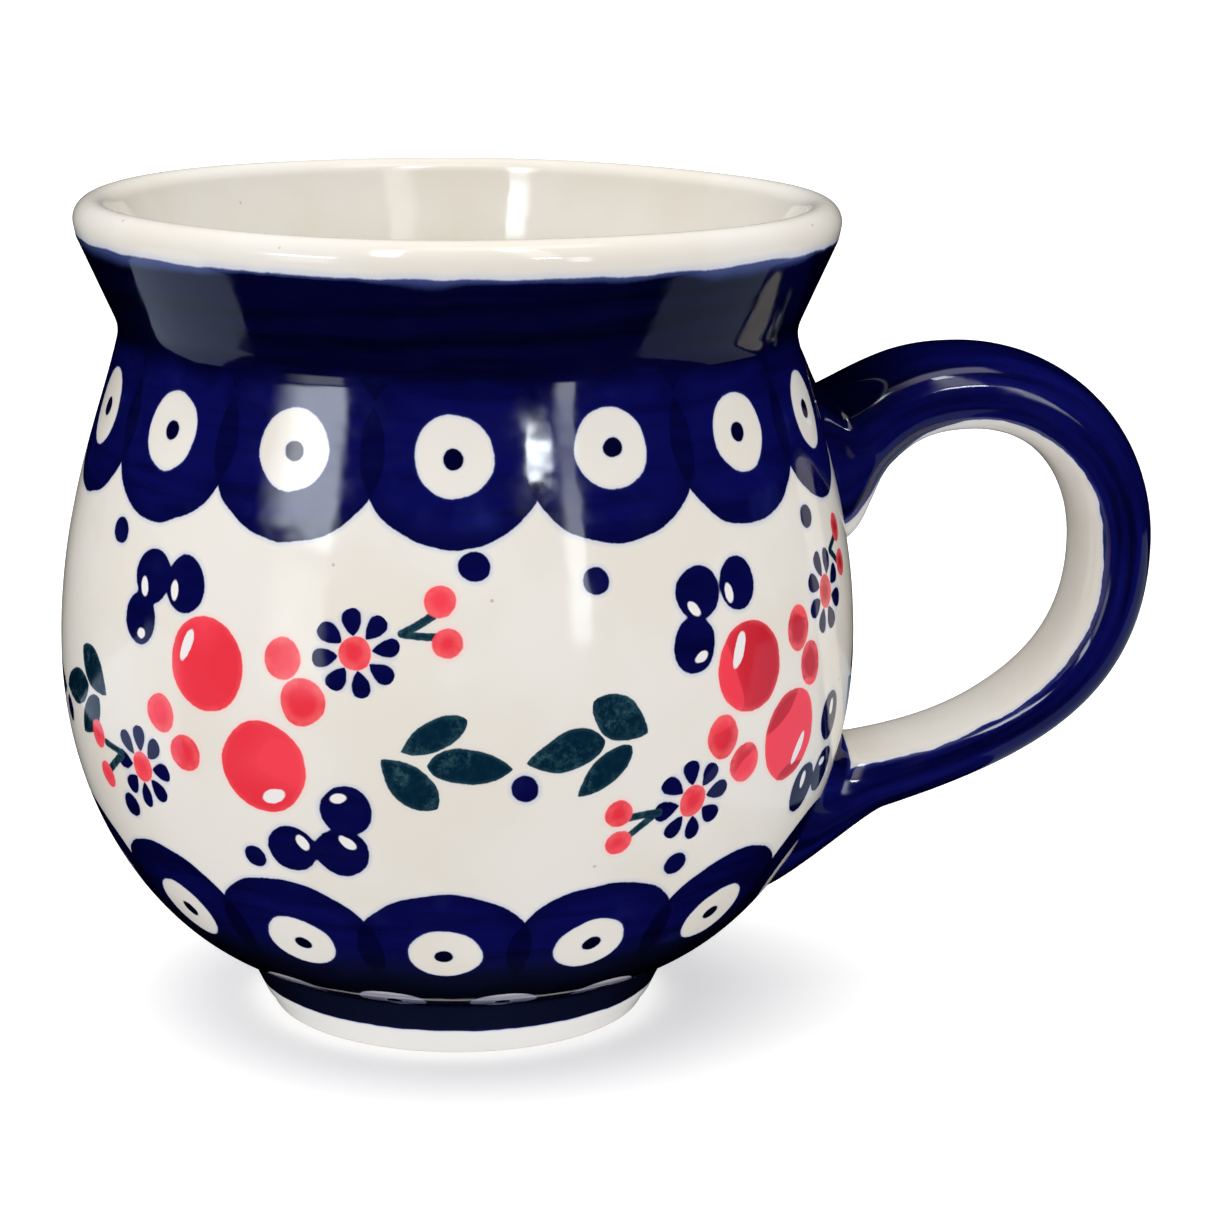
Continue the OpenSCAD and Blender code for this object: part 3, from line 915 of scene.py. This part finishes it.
def handle_piece(name, first, last, node, material):
    """A closed length of the handle between two rings."""
    part = rings[first : last + 1]
    count = len(part)
    points = part.reshape(-1, 3)
    faces, unrolled, sheet, directions = [], [], [], []
    for i in range(count - 1):
        for k in range(RING):
            m = (k + 1) % RING
            square = [(i, k, k), (i, m, k + 1), (i + 1, m, k + 1), (i + 1, k, k)]
            face = [at * RING + column for at, column, _ in square]
            faces.append(face)
            for at, column, turn in square:
                angle = 360 * turn / RING
                unrolled.append((angle - 180, run[first + at]))
                share = (run[first + at] - run[first]) / (run[last] - run[first])
                sheet.append((0.02 + 0.9 * turn / RING, 0.02 + 0.96 * share))
                directions.append(normals[first + at, column])
    for i, order in ((0, range(RING - 1, -1, -1)), (count - 1, range(RING))):
        face = [i * RING + k for k in order]
        faces.append(face)
        end, inward = (first, first + 1) if i == 0 else (last, last - 1)
        facing = rings[end].mean(0) - rings[inward].mean(0)
        facing /= np.linalg.norm(facing)
        for k in order:
            unrolled.append((360 * k / RING - 180, run[first + i]))
            turn = 2 * math.pi * k / RING
            sheet.append((0.955 + 0.02 * math.cos(turn), (0.06 if i == 0 else 0.12) + 0.02 * math.sin(turn)))
            directions.append(facing)
    # the faces' winding has to agree with the normals
    a, b, c = (points[faces[0][j]] for j in range(3))
    if np.dot(np.cross(b - a, c - a), normals[first, 0]) < 0:
        at = 0
        for n, face in enumerate(faces):
            size = len(face)
            faces[n] = face[::-1]
            for values in (unrolled, sheet, directions):
                values[at : at + size] = values[at : at + size][::-1]
            at += size
    piece = new_piece(name, points, faces, {"unrolled": unrolled, "OFBake": sheet}, node)
    piece.data.normals_split_custom_set([tuple(d) for d in directions])
    piece.data.materials.append(material)
    return piece


CREAM_EDGE = 54  # half the angle of the section that stays cream, round from the middle of the inner face


def handle_material(name, from_run, to_run):
    """Cobalt outside, cream on the face towards the fingers between two lengths along the handle."""
    material, g, shader, place = new_material(name)
    flat = g.add("ShaderNodeUVMap", uv_map="unrolled")
    angle, run_at, _ = g.split(flat)
    wander = g.noise(place, 0.14, 2.0)
    nibble = g.noise(place, 0.9, 2.0)
    wide = g.math("MULTIPLY_ADD", wander, 14.0, CREAM_EDGE - 7.0)
    wide = g.math("MULTIPLY_ADD", nibble, 3.0, wide)
    wide = g.math("SUBTRACT", wide, g.step(run_at, 14.0, -2.0, 0.0, 20.0))
    out = g.math("SUBTRACT", g.math("ABSOLUTE", angle), wide)
    start = g.math("SUBTRACT", g.math("MULTIPLY_ADD", wander, 5.0, from_run - 2.5), run_at)
    end = g.math("SUBTRACT", run_at, g.math("MULTIPLY_ADD", wander, 5.0, to_run - 2.5))
    ends = g.math("MULTIPLY", g.math("MAXIMUM", start, end), 6.0)
    blue_at = g.math("MAXIMUM", out, ends)
    brushed = g.noise(g.join(g.math("MULTIPLY", angle, 0.05), g.math("MULTIPLY", run_at, 0.03)), 1.0, 3.0, 0.6)
    blue = g.mix(g.step(brushed, 0.3, 0.62), NAVY_DEEP, NAVY)
    blue = g.mix(g.step(brushed, 0.6, 0.8, 0.0, 0.5), blue, NAVY_THIN)
    # painted shade: the outer face of the handle is darkened towards deep cobalt
    blue = g.mix(g.step(g.math("ABSOLUTE", angle), 120.0, 165.0, 0.0, 0.75), blue, NAVY_DEEP)
    # painted reflection: near the upper joint the outer side of the handle turns near black, as the dark neck is seen
    # in its glaze
    painted_neck_reflection = g.math("MULTIPLY", g.step(run_at, 12.0, 2.0), g.step(g.math("ABSOLUTE", angle), 92.0, 125.0))
    blue = g.mix(painted_neck_reflection, blue, NAVY_BLACK)
    blue = g.mix(g.step(blue_at, 9.0, 0.0, 0.0, 0.75), blue, NAVY_THIN)
    cream = g.mix(g.step(blue_at, -8.0, 0.0, 0.0, 0.4), cream_ground(g, place), BLEED)
    colour = g.mix(g.step(blue_at, -0.8, 0.8), cream, blue)
    finish_glaze(g, shader, place, colour)
    return material


BEYOND = 999  # further along than the handle reaches
handle_piece("upper_luted_joint", 0, first_strap, "upper_slip_joint",
             handle_material("upper_joint_glaze", -7.0, BEYOND))
handle_piece("pulled_strap", first_strap, last_strap, "handle",
             handle_material("strap_glaze", -BEYOND, BEYOND))
handle_piece("lower_luted_joint", last_strap, len(rings) - 1, "lower_slip_joint",
             handle_material("lower_joint_glaze", -BEYOND, run[last_strap] + 4.5))

# ---------------------------------------------------------------- floor, light and camera

FLOOR_HALF = 6.0  # metres
floor_corners = [(FLOOR_HALF * x, FLOOR_HALF * y, 0) for x, y in ((-1, -1), (1, -1), (1, 1), (-1, 1))]
mesh = bpy.data.meshes.new("floor")
mesh.from_pydata(floor_corners, [], [(0, 1, 2, 3)])
floor = bpy.data.objects.new("floor", mesh)
bpy.context.scene.collection.objects.link(floor)
floor_material, g, shader, place = new_material("pale_floor")
g.tree.links.new(
    g.mix(g.noise(place, 0.004, 2.0), linear(250, 250, 250), linear(246, 246, 247)), shader.inputs["Base Color"]
)
shader.inputs["Roughness"].default_value = 0.9
shader.inputs["Specular IOR Level"].default_value = 0.0
shader.inputs["Emission Color"].default_value = (1, 1, 1, 1)
shader.inputs["Emission Strength"].default_value = 0.3
mesh.materials.append(floor_material)
floor.visible_glossy = False
floor.visible_diffuse = False

CAMERA_AT = (-43.4, -422.9, 152.4)
CAMERA_HEADING = 8.43  # degrees round from +Y towards +X
CAMERA_PITCH = 13.30
CAMERA_ROLL = 0.65
CAMERA_LENS = 100.5


def view_direction(heading, elevation):
    """A unit vector at a heading round from +Y towards +X, and an elevation."""
    h, e = math.radians(heading), math.radians(elevation)
    return Vector((math.sin(h) * math.cos(e), math.cos(h) * math.cos(e), math.sin(e)))


forward = view_direction(CAMERA_HEADING, -CAMERA_PITCH)
right = forward.cross(Vector((0, 0, 1))).normalized()
upward = right.cross(forward)
roll = math.radians(CAMERA_ROLL)
level, plumb = right * math.cos(roll) + upward * math.sin(roll), upward * math.cos(roll) - right * math.sin(roll)
camera_data = bpy.data.cameras.new("camera")
camera_data.lens = CAMERA_LENS
camera_data.sensor_width = 36
camera_data.clip_start = 0.01
camera_data.clip_end = 50
camera = bpy.data.objects.new("camera", camera_data)
bpy.context.scene.collection.objects.link(camera)
turn = Matrix((level, plumb, -forward)).transposed().to_4x4()
camera.matrix_world = Matrix.Translation(Vector(CAMERA_AT) * MM) @ turn
bpy.context.scene.camera = camera

# Each light: degrees round from the side that faces -Y towards the handle, elevation, distance,
# width and height in metres, tilt, radiance and colour. One kind only fills. The others only show in the
# glaze, and those that fade are dimmer towards their edges.
AIM = Vector((0, 0, 0.058))
DAYLIGHT = (0.86, 0.93, 1.0)
LAMPLIGHT = (1.0, 0.98, 0.95)
LIGHTS = [
    ("key", -58, 45, 1.2, 1.5, 1.5, 0, 0.36, LAMPLIGHT, "fills"),
    ("window_left", -55, 19, 1.0, 0.48, 0.20, 0, 8.0, DAYLIGHT, "fades"),
    ("window_sill", -53, 2, 1.0, 0.40, 0.44, 0, 2.2, DAYLIGHT, "fades"),
    ("window_right", 27, 12, 1.0, 0.14, 0.50, 0, 5.0, DAYLIGHT, "fades"),
    ("lamp_low", 18.8, 23.6, 1.0, 0.13, 0.05, 0, 34.0, DAYLIGHT, "shows"),
    ("lamp_top", 20, 66, 1.0, 0.12, 0.16, 0, 12.0, DAYLIGHT, "shows"),
    ("lamp_left", -34, 50, 1.0, 0.15, 0.75, 12, 12.0, DAYLIGHT, "fades"),
    ("lamp_right", 17, 45, 1.0, 0.22, 0.80, 0, 2.5, LAMPLIGHT, "fades"),
    ("ceiling", 20, 80, 1.2, 1.0, 0.5, 0, 2.0, LAMPLIGHT, "fades"),
]
# The pale table is seen in the glaze to either side of the mug, but not in the mug's own shadow:
# middle across and back, width and depth in millimetres, and radiance.
GLOWS = [("table_left", -415, 45, 570, 146, 0.75), ("table_right", 290, 41, 400, 218, 0.35)]
TABLE_TINT = (0.62, 0.75, 1.0)


def new_light(name, width, height, radiance, colour, place):
    data = bpy.data.lights.new(name, "AREA")
    data.shape = "RECTANGLE"
    data.size, data.size_y = width, height
    data.energy = radiance * math.pi * width * height
    data.color = colour
    light = bpy.data.objects.new(name, data)
    bpy.context.scene.collection.objects.link(light)
    light.location = place
    light.visible_camera = False
    return light


def fade_edges(light):
    """The light falls off towards its edges, and further in from one side, as a curtained window does."""
    light.data.use_nodes = True
    g = Graph(light.data.node_tree)
    u, v, _ = g.split(g.add("ShaderNodeNewGeometry", out="Parametric"))
    across = g.math("MULTIPLY", g.step(u, 0.0, 0.5), g.step(u, 1.0, 0.88))
    strength = g.math("MULTIPLY", across, g.math("MULTIPLY", g.step(v, 0.0, 0.25), g.step(v, 1.0, 0.75)))
    g.tree.links.new(strength, light.data.node_tree.nodes["Emission"].inputs["Strength"])


def add_light(name, angle, elevation, distance, width, height, tilt, radiance, colour, kind):
    away = view_direction(180 - angle, elevation)
    light = new_light(name, width, height, radiance, colour, AIM + away * distance)
    light.rotation_mode = "QUATERNION"
    light.rotation_quaternion = Quaternion(away, math.radians(tilt)) @ away.to_track_quat("Z", "Y")
    if kind == "fills":
        light.visible_glossy = False
    else:
        light.visible_diffuse = False
    if kind == "fades":
        fade_edges(light)


for light in LIGHTS:
    add_light(*light)
for name, x, y, width, depth, radiance in GLOWS:
    glow = new_light(name, width * MM, depth * MM, radiance, TABLE_TINT, Vector((x, y, -2)) * MM)
    glow.rotation_euler = (math.pi, 0, 0)
    glow.visible_diffuse = False

# Soft light from all round: strongest from above, and white where the camera sees it.
FROM_BELOW, FROM_SIDE, FROM_ABOVE = 1.15, 0.47, 1.8
BACKGROUND = 1.0
world = bpy.data.worlds.new("studio")
bpy.context.scene.world = world
world.use_nodes = True
g = Graph(world.node_tree)
backing = world.node_tree.nodes["Background"]
backing.inputs["Color"].default_value = (1, 1, 1, 1)
_, _, height = g.split(g.add("ShaderNodeTexCoord", out="Generated"))
lower_half = g.step(height, -0.3, 0.1, FROM_BELOW, FROM_SIDE)
ambient = g.math("MAXIMUM", lower_half, g.step(height, 0.1, 1.0, FROM_SIDE, FROM_ABOVE))
seen_by_camera = g.add("ShaderNodeLightPath", out="Is Camera Ray")
strength = g.math("MULTIPLY_ADD", g.math("SUBTRACT", BACKGROUND, ambient), seen_by_camera, ambient)
g.tree.links.new(strength, backing.inputs["Strength"])
world.cycles_visibility.glossy = False
bpy.context.scene.view_settings.view_transform = "Standard"
